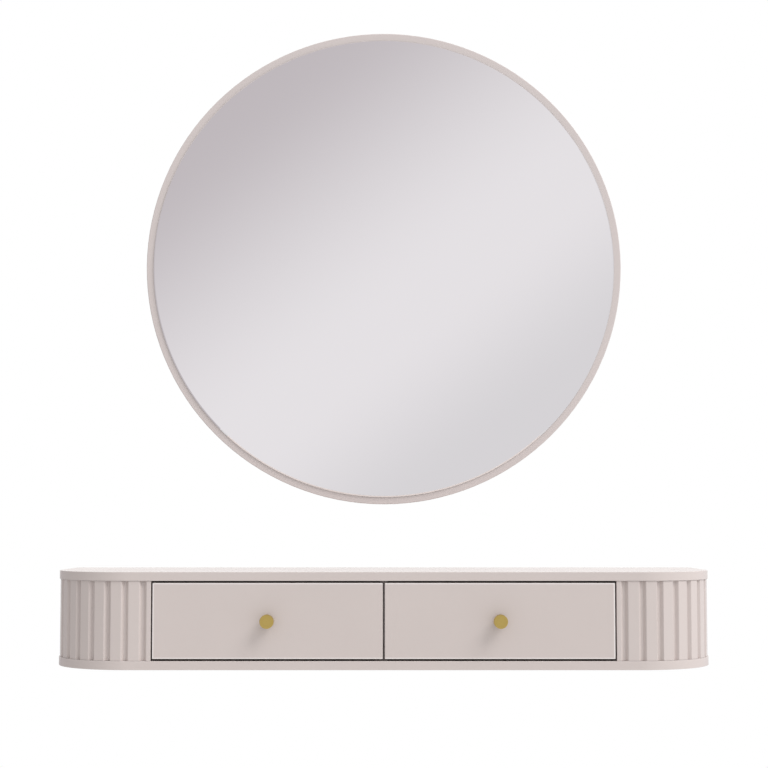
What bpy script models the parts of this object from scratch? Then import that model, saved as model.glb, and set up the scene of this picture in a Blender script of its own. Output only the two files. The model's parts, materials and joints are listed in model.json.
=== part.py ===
"""Wall-hung dressing table: a fluted console with two drawers, and a round mirror above it.

Metres, +Z up, +X to the viewer's right. The front faces -Y and the wall is the plane Y = 0.
The origin is the middle of the wall cleat's back face.
"""
import math

import bmesh
import bpy
from mathutils import Vector

# Console
DESK_WIDTH = 1.000
DESK_DEPTH = 0.260
DESK_HEIGHT = 0.144
CORNER_RADIUS = 0.121
BOARD_THICKNESS = 0.0131
BOARD_ROUND = 0.0008
FACE_INSET = 0.0013
END_WIDTH = 0.1562
GABLE_THICKNESS = 0.012
DIVIDER_THICKNESS = 0.012
DIVIDER_SETBACK = 0.002
BACK_THICKNESS = 0.009
PANEL_ROUND = 0.0006

# Fluted end panels
PANEL_THICKNESS = 0.0095
FIRST_SLAT = 0.0066
FLUTE_PITCH = 0.0268
FLUTE_MOUTH = 0.0105
FLUTE_FLOOR = 0.003
FLUTE_DEPTH = 0.0050
FLUTE_ROUND = 0.0007
LAST_SLAT_LEAST = 0.004

# Cleats that hang the console on the wall
CLEAT_THICKNESS = 0.015
CLEAT_HEIGHT = 0.050
CLEAT_LENGTH = 0.640
CLEAT_SCREW_COUNT = 4
CLEAT_SCREW_INSET = 0.080
CLEAT_SCREW_DIAMETER = 0.004
CLEAT_SCREW_HEAD = 0.008
SCREW_COVER = 0.0025

# Drawers
FRONT_THICKNESS = 0.015
FRONT_ROUND = 0.0010
FRONT_GAP = 0.0029
FRONT_SIDE_GAP = 0.0021
BOX_THICKNESS = 0.012
BOX_UNDER_CLEARANCE = 0.012
BOX_OVER_CLEARANCE = 0.020
BOX_REAR_CLEARANCE = 0.014
BOTTOM_THICKNESS = 0.005
BOTTOM_RISE = 0.008
BOTTOM_GROOVE = 0.005

# Telescopic runners
RAIL_HEIGHT = 0.045
RAIL_SPACE = 0.0127
RAIL_GAUGE = 0.0012
RAIL_LIP = 0.004
RAIL_FACE_GAP = 0.001
RAIL_SETBACK = 0.003
RAIL_BEND = 0.0004
RAIL_HOLE = 0.0045
RAIL_SLOT = 0.009
RAIL_HOLE_INSET = 0.035

# Knobs
KNOB_DIAMETER = 0.0206
KNOB_PROJECTION = 0.022
KNOB_HEAD = 0.013
KNOB_ROUND = 0.0012
KNOB_NECK = 0.011
KNOB_SHOULDER = 0.002
KNOB_FOOT = 0.014
KNOB_FOOT_HEIGHT = 0.002
BOLT_DIAMETER = 0.004
BOLT_HEAD = 0.008
BOLT_HEAD_HEIGHT = 0.0025
BOLT_HEAD_FLAT = 0.0048
BOLT_ENGAGEMENT = 0.010

# Mirror
MIRROR_DIAMETER = 0.780
MIRROR_ABOVE_DESK = 0.103
MIRROR_BOARD = 0.015
MIRROR_BOARD_ROUND = 0.0012
GLASS_DIAMETER = 0.757
GLASS_THICKNESS = 0.003
GLASS_ARRIS = 0.0006
HANGER_SPACING = 0.360
HANGER_RISE = 0.180
HANGER_WIDTH = 0.018
HANGER_LENGTH = 0.050
HANGER_GAUGE = 0.0015
HANGER_SINK = 0.003
KEYHOLE_DIAMETER = 0.009
KEYHOLE_SLOT = 0.0045
KEYHOLE_RISE = 0.010
HEAD_POCKET_MARGIN = 0.0015
HEAD_POCKET_COVER = 0.006
HANGER_SCREW_DIAMETER = 0.003
HANGER_SCREW_HEAD = 0.006
HANGER_SCREW_HEAD_HEIGHT = 0.0011
HANGER_SCREW_INSET = 0.006

# Gap left between pieces that touch
FIT_GAP = 0.0003

# Flat steps in a round, and the limits below which points or faces count as one
CORNER_STEPS = 24
MIRROR_STEPS = 128
KNOB_STEPS = 32
SCREW_STEPS = 12
BEND_STEPS = 3
SHARP_ANGLE = math.radians(40)
FLAT_ANGLE = math.radians(0.006)
SAME_PLACE = 0.000001

# Levels and planes that several pieces share
CLEAT_FACE_HALF = (CLEAT_HEIGHT - CLEAT_THICKNESS) / 2
CLEAT_BEVEL_GAP = FIT_GAP * math.sqrt(2)
HUNG_CLEAT_LOW = CLEAT_FACE_HALF + CLEAT_BEVEL_GAP + FIT_GAP
TOP_UNDERSIDE = HUNG_CLEAT_LOW + CLEAT_HEIGHT + FIT_GAP
DESK_TOP = TOP_UNDERSIDE + BOARD_THICKNESS
DESK_BOTTOM = DESK_TOP - DESK_HEIGHT
BAY_HALF_WIDTH = DESK_WIDTH / 2 - END_WIDTH
FLOOR_LEVEL = DESK_BOTTOM + BOARD_THICKNESS
FACE_PLANE = FACE_INSET - DESK_DEPTH
FRONT_BACK = FACE_PLANE + FRONT_THICKNESS
BACK_REAR = -CLEAT_THICKNESS - FIT_GAP
BACK_FACE = BACK_REAR - BACK_THICKNESS
CORNER_X = DESK_WIDTH / 2 - CORNER_RADIUS
CORNER_Y = CORNER_RADIUS - DESK_DEPTH
BOX_LOW = FLOOR_LEVEL + BOX_UNDER_CLEARANCE
BOX_HIGH = TOP_UNDERSIDE - BOX_OVER_CLEARANCE
BOX_START = FRONT_BACK + FIT_GAP
BOX_END = BACK_FACE - BOX_REAR_CLEARANCE
BOTTOM_LOW = BOX_LOW + BOTTOM_RISE
BOTTOM_HIGH = BOTTOM_LOW + BOTTOM_THICKNESS
RUNNER_LEVEL = (BOX_LOW + BOX_HIGH) / 2
RUNNER_START = FRONT_BACK + RAIL_SETBACK
KNOB_LEVEL = (FLOOR_LEVEL + TOP_UNDERSIDE) / 2
MIRROR_LEVEL = DESK_TOP + MIRROR_ABOVE_DESK + MIRROR_DIAMETER / 2

# Ways a flat outline or a turned profile is laid in space
LIES_FLAT = (0.0, 0.0, 0.0)
FACES_FRONT = (math.pi / 2, 0.0, 0.0)
FACES_BACK = (-math.pi / 2, 0.0, 0.0)
RUNS_ACROSS = (math.pi / 2, 0.0, math.pi / 2)

SIDES = {"left": -1, "right": 1}


def clear_scene():
    """Removes whatever the file opened with."""
    for old in list(bpy.data.objects):
        bpy.data.objects.remove(old, do_unlink=True)


def new_collection(name):
    """A collection linked to the scene."""
    made = bpy.data.collections.new(name)
    bpy.context.scene.collection.children.link(made)
    return made


def new_finish(name, colour, roughness, metallic=0.0):
    """A Principled material."""
    made = bpy.data.materials.new(name)
    made.use_nodes = True
    shader = made.node_tree.nodes["Principled BSDF"]
    shader.inputs["Base Color"].default_value = (*colour, 1.0)
    shader.inputs["Roughness"].default_value = roughness
    shader.inputs["Metallic"].default_value = metallic
    return made


def add_piece(name, mesh, finish, location, rotation=LIES_FLAT):
    """One named piece of the object."""
    piece = bpy.data.objects.new(name, mesh)
    piece.location = location
    piece.rotation_euler = rotation
    mesh.materials.clear()
    mesh.materials.append(finish)
    parts.objects.link(piece)
    return piece


def soften(piece, width, segments=1):
    """Rounds a piece's sharp edges."""
    bevel = piece.modifiers.new("soften", "BEVEL")
    bevel.width = width
    bevel.segments = segments
    bevel.limit_method = "ANGLE"
    bevel.angle_limit = SHARP_ANGLE
    return piece


def cut(piece, cutter):
    """Takes one piece's shape out of another and keeps the first as a guide."""
    for owner in list(cutter.users_collection):
        owner.objects.unlink(cutter)
    cutters.objects.link(cutter)
    cutter.hide_render = True
    cutter.display_type = "WIRE"
    boolean = piece.modifiers.new("cut", "BOOLEAN")
    boolean.operation = "DIFFERENCE"
    boolean.object = cutter


def box(name, finish, low, high):
    """A rectangular piece between two opposite corners."""
    size = [b - a for a, b in zip(low, high)]
    middle = [(a + b) / 2 for a, b in zip(low, high)]
    shape = bmesh.new()
    bmesh.ops.create_cube(shape, size=1.0)
    bmesh.ops.scale(shape, vec=size, verts=shape.verts)
    mesh = bpy.data.meshes.new(name)
    shape.to_mesh(mesh)
    shape.free()
    return add_piece(name, mesh, finish, middle)


def extruded(name, finish, outlines, thickness, middle, rotation):
    """A flat shape of even thickness, where an outline inside another one is a hole."""
    curve = bpy.data.curves.new(name, "CURVE")
    curve.dimensions = "2D"
    curve.fill_mode = "BOTH"
    curve.extrude = thickness / 2
    for outline in outlines:
        spline = curve.splines.new("POLY")
        spline.points.add(len(outline) - 1)
        for point, (across, up) in zip(spline.points, outline):
            point.co = (across, up, 0.0, 1.0)
        spline.use_cyclic_u = True
    guide = bpy.data.objects.new(name + "_outline", curve)
    bpy.context.scene.collection.objects.link(guide)
    bpy.context.view_layer.update()
    seen = guide.evaluated_get(bpy.context.evaluated_depsgraph_get())
    mesh = bpy.data.meshes.new_from_object(seen)
    bpy.data.objects.remove(guide, do_unlink=True)
    shape = bmesh.new()
    shape.from_mesh(mesh)
    bmesh.ops.remove_doubles(shape, verts=shape.verts, dist=SAME_PLACE)
    bmesh.ops.dissolve_limit(shape, angle_limit=FLAT_ANGLE, verts=shape.verts, edges=shape.edges)
    bmesh.ops.recalc_face_normals(shape, faces=shape.faces)
    shape.to_mesh(mesh)
    shape.free()
    return add_piece(name, mesh, finish, middle, rotation)


def turned(name, finish, profile, middle, rotation, steps):
    """A turned piece from a profile of (radius, height) that runs down its outer side."""
    points = [(radius, 0.0, height) for radius, height in profile]
    mesh = bpy.data.meshes.new(name)
    mesh.from_pydata(points, [(i, i + 1) for i in range(len(points) - 1)], [])
    piece = add_piece(name, mesh, finish, middle, rotation)
    screw = piece.modifiers.new("turn", "SCREW")
    screw.steps = steps
    screw.render_steps = steps
    screw.use_merge_vertices = True
    screw.merge_threshold = SAME_PLACE
    screw.use_smooth_shade = True
    return piece


def arc(middle, radius, start, end, steps):
    """Points along an arc, with angles in degrees."""
    points = []
    for i in range(steps + 1):
        angle = math.radians(start + (end - start) * i / steps)
        points.append((middle[0] + radius * math.cos(angle), middle[1] + radius * math.sin(angle)))
    return points


def quarter_round(edge, height, radius, steps=2):
    """Profile points of a rounded outer edge, from its flat top down to its side."""
    return arc((edge - radius, height - radius), radius, 90, 0, steps)


def stadium(width, length, steps=8):
    """An upright outline with straight sides and half-round ends."""
    end = (length - width) / 2
    return arc((0, end), width / 2, 0, 180, steps) + arc((0, -end), width / 2, 180, 360, steps)


def circle(middle, diameter, steps):
    """A closed round outline."""
    return arc(middle, diameter / 2, 0, 360, steps)[:-1]


def carried_by(carrier, pieces):
    """Parents pieces to an empty and keeps them where they are."""
    bpy.context.view_layer.update()
    for piece in pieces:
        piece.parent = carrier
        piece.matrix_parent_inverse = carrier.matrix_world.inverted()


def slide_axis(name, location):
    """The empty that stands on a sliding body's axis."""
    empty = bpy.data.objects.new(name, None)
    empty.empty_display_size = BOX_THICKNESS
    empty.location = location
    parts.objects.link(empty)
    return empty


# Console body
def desk_outline():
    """Plan of the top and bottom boards: square at the wall, round at the front corners."""
    half = DESK_WIDTH / 2
    left = arc((-CORNER_X, CORNER_Y), CORNER_RADIUS, 180, 270, CORNER_STEPS)
    right = arc((CORNER_X, CORNER_Y), CORNER_RADIUS, 270, 360, CORNER_STEPS)
    return [(half, 0.0), (-half, 0.0)] + left + right


def make_boards():
    """The top and bottom boards."""
    for name, low in (("top_board", TOP_UNDERSIDE), ("bottom_board", DESK_BOTTOM)):
        middle = (0.0, 0.0, low + BOARD_THICKNESS / 2)
        board = extruded(name, paint, [desk_outline()], BOARD_THICKNESS, middle, LIES_FLAT)
        soften(board, BOARD_ROUND, segments=2)


def make_uprights():
    """Gables, centre divider and back panel, all between the two boards."""
    low = FLOOR_LEVEL + FIT_GAP
    high = TOP_UNDERSIDE - FIT_GAP
    rear = BACK_FACE - FIT_GAP
    gable_front = FACE_PLANE + PANEL_THICKNESS + FIT_GAP
    for side, sign in SIDES.items():
        near = sign * BAY_HALF_WIDTH
        far = sign * (BAY_HALF_WIDTH + GABLE_THICKNESS)
        corner = (min(near, far), gable_front, low)
        gable = box(side + "_gable", paint, corner, (max(near, far), rear, high))
        soften(gable, PANEL_ROUND)
    half = DIVIDER_THICKNESS / 2
    divider = box("centre_divider", paint, (-half, FRONT_BACK + DIVIDER_SETBACK, low), (half, rear, high))
    soften(divider, PANEL_ROUND)
    half = DESK_WIDTH / 2 - FACE_INSET - PANEL_THICKNESS - FIT_GAP
    return box("back_panel", paint, (-half, BACK_FACE, low), (half, BACK_REAR, high))


# Fluted ends
def panel_point(distance, depth):
    """Plan point a distance along the right panel's crest line and a depth behind it."""
    straight = CORNER_X - BAY_HALF_WIDTH
    crest_radius = CORNER_RADIUS - FACE_INSET
    bend = crest_radius * math.pi / 2
    if distance <= straight:
        return (BAY_HALF_WIDTH + distance, FACE_PLANE + depth)
    if distance <= straight + bend:
        angle = (distance - straight) / crest_radius
        radius = crest_radius - depth
        return (CORNER_X + radius * math.sin(angle), CORNER_Y - radius * math.cos(angle))
    return (CORNER_X + crest_radius - depth, CORNER_Y + distance - straight - bend)


def flute(start):
    """One groove as (distance, depth) points: soft edges, slanted walls and a flat floor."""
    wall = (FLUTE_MOUTH - FLUTE_FLOOR) / 2
    slope = FLUTE_ROUND / math.hypot(wall, FLUTE_DEPTH)
    edge = [(-FLUTE_ROUND, 0.0), (wall * slope, FLUTE_DEPTH * slope), (wall, FLUTE_DEPTH)]
    down = [(start + along, depth) for along, depth in edge]
    up = [(start + FLUTE_MOUTH - along, depth) for along, depth in reversed(edge)]
    return down + up


def panel_outline():
    """Plan of the right fluted panel: grooves outside, a smooth bend inside."""
    straight = CORNER_X - BAY_HALF_WIDTH
    bend = (CORNER_RADIUS - FACE_INSET) * math.pi / 2
    length = straight + bend - CORNER_Y
    outer = [(0.0, 0.0)]
    start = FIRST_SLAT
    while start + FLUTE_MOUTH + LAST_SLAT_LEAST < length:
        outer += flute(start)
        start += FLUTE_PITCH
    outer.append((length, 0.0))
    inner = [(length, PANEL_THICKNESS)]
    for i in range(CORNER_STEPS, -1, -1):
        inner.append((straight + bend * i / CORNER_STEPS, PANEL_THICKNESS))
    inner.append((0.0, PANEL_THICKNESS))
    return [panel_point(distance, depth) for distance, depth in outer + inner]


def make_fluted_panels():
    """The bent fluted panels at both ends."""
    height = TOP_UNDERSIDE - FLOOR_LEVEL - 2 * FIT_GAP
    middle = (0.0, 0.0, (TOP_UNDERSIDE + FLOOR_LEVEL) / 2)
    for side, sign in SIDES.items():
        outline = [(sign * x, y) for x, y in panel_outline()]
        extruded(side + "_fluted_panel", paint, [outline], height, middle, LIES_FLAT)


# Hanging cleats
def countersunk(shank, head, length, gap=0.0):
    """Profile of a countersunk screw, or of its hole, whose mouth runs on past the board's face.

    The head's flat top is at height 0 and the tip is below.
    """
    shank_radius = shank / 2 + gap
    head_radius = head / 2 + gap
    cone_end = -(head - shank) / 2
    mouth = 2 * gap
    tip = -length - gap
    return [(0.0, mouth), (head_radius, mouth), (head_radius, 0.0), (shank_radius, cone_end), (shank_radius, tip),
            (0.0, tip)]


def make_cleats(back_panel):
    """The cleat on the console, the cleat on the wall that it hooks over, and their screws."""
    rear = -FIT_GAP
    face = -CLEAT_THICKNESS
    high = HUNG_CLEAT_LOW + CLEAT_HEIGHT
    bevel_high = HUNG_CLEAT_LOW + rear - face
    hung_outline = [(rear, HUNG_CLEAT_LOW), (rear, high), (face, high), (face, bevel_high)]
    hung = extruded("hung_cleat", timber, [hung_outline], CLEAT_LENGTH, (0.0, 0.0, 0.0), RUNS_ACROSS)
    low = -CLEAT_FACE_HALF
    point = CLEAT_FACE_HALF + CLEAT_THICKNESS
    wall_outline = [(0.0, low), (0.0, CLEAT_FACE_HALF), (face, point), (face, low)]
    wall = extruded("wall_cleat", timber, [wall_outline], CLEAT_LENGTH, (0.0, 0.0, 0.0), RUNS_ACROSS)
    hung_level = (bevel_high + high) / 2
    hung_screw = CLEAT_THICKNESS + BACK_THICKNESS - SCREW_COVER
    hung_profile = countersunk(CLEAT_SCREW_DIAMETER, CLEAT_SCREW_HEAD, hung_screw)
    hung_hole = countersunk(CLEAT_SCREW_DIAMETER, CLEAT_SCREW_HEAD, hung_screw, FIT_GAP)
    wall_hole = countersunk(CLEAT_SCREW_DIAMETER, CLEAT_SCREW_HEAD, 2 * CLEAT_THICKNESS, FIT_GAP)
    screw_reach = CLEAT_LENGTH / 2 - CLEAT_SCREW_INSET
    for i in range(CLEAT_SCREW_COUNT):
        across = screw_reach * (2 * i / (CLEAT_SCREW_COUNT - 1) - 1)
        seat = (across, rear - FIT_GAP, hung_level)
        number = str(i + 1)
        turned("cleat_screw_" + number, steel, hung_profile, seat, FACES_BACK, SCREW_STEPS)
        hole = turned("cleat_screw_hole_" + number, steel, hung_hole, seat, FACES_BACK, SCREW_STEPS)
        cut(hung, hole)
        cut(back_panel, hole)
        wall_seat = (across, face, 0.0)
        cut(wall, turned("wall_screw_hole_" + number, steel, wall_hole, wall_seat, FACES_FRONT, SCREW_STEPS))


# Telescopic runners
def rolled(section):
    """Rounds the bends of a folded section and leaves the cut ends of the strip square."""
    points = [Vector(corner) for corner in section]
    rounded = []
    for before, corner, after in zip(points[-1:] + points, points, points[1:] + points[:1]):
        back = before - corner
        ahead = after - corner
        if min(back.length, ahead.length) < RAIL_GAUGE + SAME_PLACE:
            rounded.append(tuple(corner))
            continue
        outside = back.cross(ahead) < 0
        radius = RAIL_BEND + RAIL_GAUGE if outside else RAIL_BEND
        back.normalize()
        ahead.normalize()
        middle = corner + (back + ahead) * radius
        for step in range(BEND_STEPS + 1):
            angle = math.pi / 2 * step / BEND_STEPS
            rounded.append(tuple(middle - (ahead * math.cos(angle) + back * math.sin(angle)) * radius))
    return rounded


def channel(start, depth, height):
    """Section of a folded channel with in-turned lips, its back at start."""
    half = height / 2
    mouth = start + depth
    lip = half - RAIL_LIP
    inside = half - RAIL_GAUGE
    fold = [(mouth, lip), (mouth, half), (start, half), (start, -half), (mouth, -half), (mouth, -lip)]
    back = start + RAIL_GAUGE
    turn = mouth - RAIL_GAUGE
    hollow = [(turn, -lip), (turn, -inside), (back, -inside), (back, inside), (turn, inside), (turn, lip)]
    return fold + hollow


def hat(start, end, half, brim):
    """Section of a folded rail with out-turned lips at start and its web at end."""
    lip = start + RAIL_GAUGE
    web = end - RAIL_GAUGE
    inside = half - RAIL_GAUGE
    fold = [(end, -half), (end, half), (lip, half), (lip, brim), (start, brim), (start, inside)]
    hollow = [(web, inside), (web, -inside), (start, -inside), (start, -brim), (lip, -brim), (lip, -half)]
    return fold + hollow


def runner_sections():
    """Sections of the cabinet, middle and drawer rails, nested with a running gap."""
    step = RAIL_GAUGE + FIT_GAP
    cabinet_depth = RAIL_SPACE - RAIL_GAUGE - RAIL_FACE_GAP
    middle_height = RAIL_HEIGHT - 2 * step
    brim = middle_height / 2 - step
    half = middle_height / 2 - RAIL_LIP - FIT_GAP
    return {
        "cabinet": channel(0.0, cabinet_depth, RAIL_HEIGHT),
        "middle": channel(step, cabinet_depth - 2 * step, middle_height),
        "drawer": hat(2 * step, RAIL_SPACE, half, brim),
    }


def rail_holes(name, middle, length):
    """Guide for a rail's screw holes: a round one near each end and an upright slot between them."""
    reach = length / 2 - RAIL_HOLE_INSET
    outlines = [circle((along, 0.0), RAIL_HOLE, SCREW_STEPS) for along in (-reach, reach)]
    outlines.append(stadium(RAIL_HOLE, RAIL_SLOT))
    return extruded(name, steel, outlines, 2 * RAIL_SPACE + 2 * FIT_GAP, middle, RUNS_ACROSS)


def make_runner(name, face, towards):
    """One runner on a cabinet face, with its rails stacked towards the drawer."""
    length = BOX_END - RUNNER_START - RAIL_SETBACK
    middle = (face + towards * FIT_GAP, RUNNER_START + length / 2, RUNNER_LEVEL)
    rails = {}
    for rail, section in runner_sections().items():
        outline = [(towards * across, up) for across, up in rolled(section)]
        rails[rail] = extruded(name + "_" + rail + "_rail", steel, [outline], length, middle, FACES_FRONT)
    for rail in ("cabinet", "drawer"):
        cut(rails[rail], rail_holes(name + "_" + rail + "_holes", middle, length))
    return rails


# Drawers
def knob_profile():
    """Turned brass knob, its foot on height 0, with a blind hole for the bolt."""
    radius = KNOB_DIAMETER / 2
    head_low = KNOB_PROJECTION - KNOB_HEAD
    bore = BOLT_DIAMETER / 2 + FIT_GAP
    bore_end = BOLT_ENGAGEMENT + FIT_GAP
    top = [(0.0, KNOB_PROJECTION)] + quarter_round(radius, KNOB_PROJECTION, KNOB_ROUND, steps=3)
    neck = [(radius, head_low), (KNOB_NECK / 2, head_low - KNOB_SHOULDER), (KNOB_NECK / 2, KNOB_FOOT_HEIGHT)]
    foot = [(KNOB_FOOT / 2, KNOB_FOOT_HEIGHT), (KNOB_FOOT / 2, 0.0)]
    return top + neck + foot + [(bore, 0.0), (bore, bore_end), (0.0, bore_end)]


def bolt_profile(reach, gap=0.0):
    """Pan-head bolt, the underside of its head at height 0 and its tip at reach."""
    shank = BOLT_DIAMETER / 2 + gap
    head = BOLT_HEAD / 2
    dome = [(head, -BOLT_HEAD_HEIGHT / 2), (BOLT_HEAD_FLAT / 2, -BOLT_HEAD_HEIGHT), (0.0, -BOLT_HEAD_HEIGHT)]
    return [(0.0, reach), (shank, reach), (shank, 0.0), (head, 0.0)] + dome


def box_side_section(sign):
    """Section of a drawer side, its groove on the side that sign points to."""
    rise = BOTTOM_RISE - FIT_GAP
    groove = BOTTOM_THICKNESS + 2 * FIT_GAP
    half = BOX_THICKNESS / 2
    bed = half - BOTTOM_GROOVE - FIT_GAP
    height = BOX_HIGH - BOX_LOW
    points = [(-half, 0.0), (half, 0.0), (half, rise), (bed, rise), (bed, rise + groove), (half, rise + groove),
              (half, height), (-half, height)]
    return [(sign * across, up) for across, up in points]


def make_drawer(side, sign):
    """One drawer: front, box, knob and runners, on the axis that it slides along."""
    name = side + "_drawer"
    divider = DIVIDER_THICKNESS / 2
    space = RAIL_SPACE + 2 * FIT_GAP
    inner = divider + space
    outer = BAY_HALF_WIDTH - space

    def span(first, second):
        """Orders two distances from the centre as low and high X on this side."""
        return sorted((sign * first, sign * second))

    front_low, front_high = span(FRONT_GAP / 2, BAY_HALF_WIDTH - FRONT_SIDE_GAP)
    low = FLOOR_LEVEL + FRONT_GAP
    high = TOP_UNDERSIDE - FRONT_GAP
    front = box(name + "_front", paint, (front_low, FACE_PLANE, low), (front_high, FRONT_BACK, high))
    soften(front, FRONT_ROUND, segments=2)

    pieces = [front]
    depth = BOX_END - BOX_START
    box_sides = {"divider": (inner + BOX_THICKNESS / 2, 1), "gable": (outer - BOX_THICKNESS / 2, -1)}
    for place, (across, facing) in box_sides.items():
        middle = (sign * across, BOX_START + depth / 2, BOX_LOW)
        section = box_side_section(sign * facing)
        panel = extruded(name + "_" + place + "_side", plywood, [section], depth, middle, FACES_FRONT)
        pieces.append(soften(panel, PANEL_ROUND))

    back_low, back_high = span(inner + BOX_THICKNESS + FIT_GAP, outer - BOX_THICKNESS - FIT_GAP)
    back_corner = (back_low, BOX_END - BOX_THICKNESS, BOTTOM_HIGH + FIT_GAP)
    back = box(name + "_back", plywood, back_corner, (back_high, BOX_END, BOX_HIGH))
    pieces.append(soften(back, PANEL_ROUND))

    groove = BOTTOM_GROOVE
    bottom_low, bottom_high = span(inner + BOX_THICKNESS - groove, outer - BOX_THICKNESS + groove)
    bottom_corner = (bottom_low, FRONT_BACK - groove, BOTTOM_LOW)
    pieces.append(box(name + "_bottom", plywood, bottom_corner, (bottom_high, BOX_END, BOTTOM_HIGH)))
    bed_low = (bottom_low - FIT_GAP, FRONT_BACK - groove - FIT_GAP, BOTTOM_LOW - FIT_GAP)
    bed_high = (bottom_high + FIT_GAP, FRONT_BACK + groove, BOTTOM_HIGH + FIT_GAP)
    cut(front, box(name + "_bottom_groove", plywood, bed_low, bed_high))

    knob_across = (front_low + front_high) / 2
    knob_seat = (knob_across, FACE_PLANE - FIT_GAP, KNOB_LEVEL)
    pieces.append(turned(name + "_knob", brass, knob_profile(), knob_seat, FACES_FRONT, KNOB_STEPS))
    bolt_seat = (knob_across, FRONT_BACK + FIT_GAP, KNOB_LEVEL)
    reach = FRONT_THICKNESS + BOLT_ENGAGEMENT
    pieces.append(turned(name + "_knob_bolt", steel, bolt_profile(reach), bolt_seat, FACES_FRONT, SCREW_STEPS))
    hole_profile = bolt_profile(reach, FIT_GAP)
    cut(front, turned(name + "_bolt_hole", steel, hole_profile, bolt_seat, FACES_FRONT, SCREW_STEPS))

    middle_rails = []
    for place, face, towards in (("divider", divider, 1), ("gable", BAY_HALF_WIDTH, -1)):
        rails = make_runner(name + "_" + place, sign * face, sign * towards)
        pieces.append(rails["drawer"])
        middle_rails.append(rails["middle"])
    carried_by(slide_axis(name + "_slide", (knob_across, FRONT_BACK, RUNNER_LEVEL)), pieces)
    carried_by(slide_axis(name + "_middle_slide", (knob_across, RUNNER_START, RUNNER_LEVEL)), middle_rails)


# Mirror
def keyhole():
    """Outline of the opening that drops over a wall screw: a round hole under a slot."""
    radius = KEYHOLE_DIAMETER / 2
    half_slot = KEYHOLE_SLOT / 2
    turn = math.degrees(math.acos(half_slot / radius))
    hole = arc((0.0, -KEYHOLE_RISE / 2), radius, 180 - turn, 360 + turn, 12)
    return hole + arc((0.0, KEYHOLE_RISE / 2), half_slot, 0, 180, 6)


def make_mirror_disc():
    """The glass and the slightly larger painted board that it is bonded to."""
    radius = MIRROR_DIAMETER / 2
    rim = MIRROR_BOARD_ROUND
    profile = [(0.0, MIRROR_BOARD)] + quarter_round(radius, MIRROR_BOARD, rim)
    profile += [(radius, rim), (radius - rim, 0.0), (0.0, 0.0)]
    centre = (0.0, 0.0, MIRROR_LEVEL)
    board = turned("mirror_board", paint, profile, centre, FACES_FRONT, MIRROR_STEPS)
    radius = GLASS_DIAMETER / 2
    profile = [(0.0, GLASS_THICKNESS), (radius - GLASS_ARRIS, GLASS_THICKNESS)]
    profile += [(radius, GLASS_THICKNESS - GLASS_ARRIS), (radius, 0.0), (0.0, 0.0)]
    seat = (0.0, -MIRROR_BOARD - FIT_GAP, MIRROR_LEVEL)
    turned("mirror_glass", silver, profile, seat, FACES_FRONT, MIRROR_STEPS)
    return board


def make_hanger(board, side, sign):
    """A keyhole plate let into the back of the mirror, with a pocket behind it and two screws."""
    name = side + "_hanger"
    across = sign * HANGER_SPACING / 2
    level = MIRROR_LEVEL + HANGER_RISE
    holes_apart = HANGER_LENGTH / 2 - HANGER_SCREW_INSET
    hole = HANGER_SCREW_DIAMETER + 2 * FIT_GAP
    outlines = [stadium(HANGER_WIDTH, HANGER_LENGTH), keyhole()]
    outlines += [circle((0.0, up * holes_apart), hole, SCREW_STEPS) for up in (-1, 1)]
    plate_back = -HANGER_SINK + FIT_GAP
    plate_middle = (across, plate_back + HANGER_GAUGE / 2, level)
    extruded(name, steel, outlines, HANGER_GAUGE, plate_middle, FACES_FRONT)

    recess = [stadium(HANGER_WIDTH + 2 * FIT_GAP, HANGER_LENGTH + 2 * FIT_GAP)]
    recess_middle = (across, 0.0, level)
    cut(board, extruded(name + "_recess", steel, recess, 2 * HANGER_SINK, recess_middle, FACES_FRONT))
    pocket_depth = MIRROR_BOARD - HEAD_POCKET_COVER
    pocket_width = KEYHOLE_DIAMETER + 2 * HEAD_POCKET_MARGIN
    pocket = [stadium(pocket_width, pocket_width + KEYHOLE_RISE)]
    cut(board, extruded(name + "_pocket", steel, pocket, 2 * pocket_depth, recess_middle, FACES_FRONT))

    seat = plate_back + HANGER_GAUGE + FIT_GAP
    length = MIRROR_BOARD + seat - SCREW_COVER
    for word, up in (("lower", -1), ("upper", 1)):
        place = (across, seat, level + up * holes_apart)
        cut(board, turned(name + "_" + word + "_pilot", steel, pan_screw(length, FIT_GAP), place, FACES_FRONT,
                          SCREW_STEPS))
        turned(name + "_" + word + "_screw", steel, pan_screw(length), place, FACES_FRONT, SCREW_STEPS)


def pan_screw(length, gap=0.0):
    """Profile of a small pan-head screw, the underside of its head at height 0 and its tip at length."""
    shank = HANGER_SCREW_DIAMETER / 2 + gap
    head = HANGER_SCREW_HEAD / 2
    tip = length + gap
    return [(0.0, tip), (shank, tip), (shank, 0.0), (head, 0.0), (head, -HANGER_SCREW_HEAD_HEIGHT),
            (0.0, -HANGER_SCREW_HEAD_HEIGHT)]


clear_scene()
parts = new_collection("dressing_table")
cutters = new_collection("cutters")
paint = new_finish("warm_grey_lacquer", (0.62, 0.55, 0.52), 0.45)
plywood = new_finish("birch_plywood", (0.68, 0.54, 0.38), 0.6)
timber = new_finish("pine", (0.62, 0.45, 0.27), 0.7)
steel = new_finish("zinc_plated_steel", (0.62, 0.63, 0.65), 0.35, 1.0)
brass = new_finish("satin_brass", (0.62, 0.47, 0.20), 0.35, 1.0)
silver = new_finish("silvered_glass", (0.90, 0.91, 0.91), 0.02, 1.0)

make_boards()
make_fluted_panels()
make_cleats(make_uprights())
for side_name, side_sign in SIDES.items():
    make_drawer(side_name, side_sign)
mirror_board = make_mirror_disc()
for side_name, side_sign in SIDES.items():
    make_hanger(mirror_board, side_name, side_sign)
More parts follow.
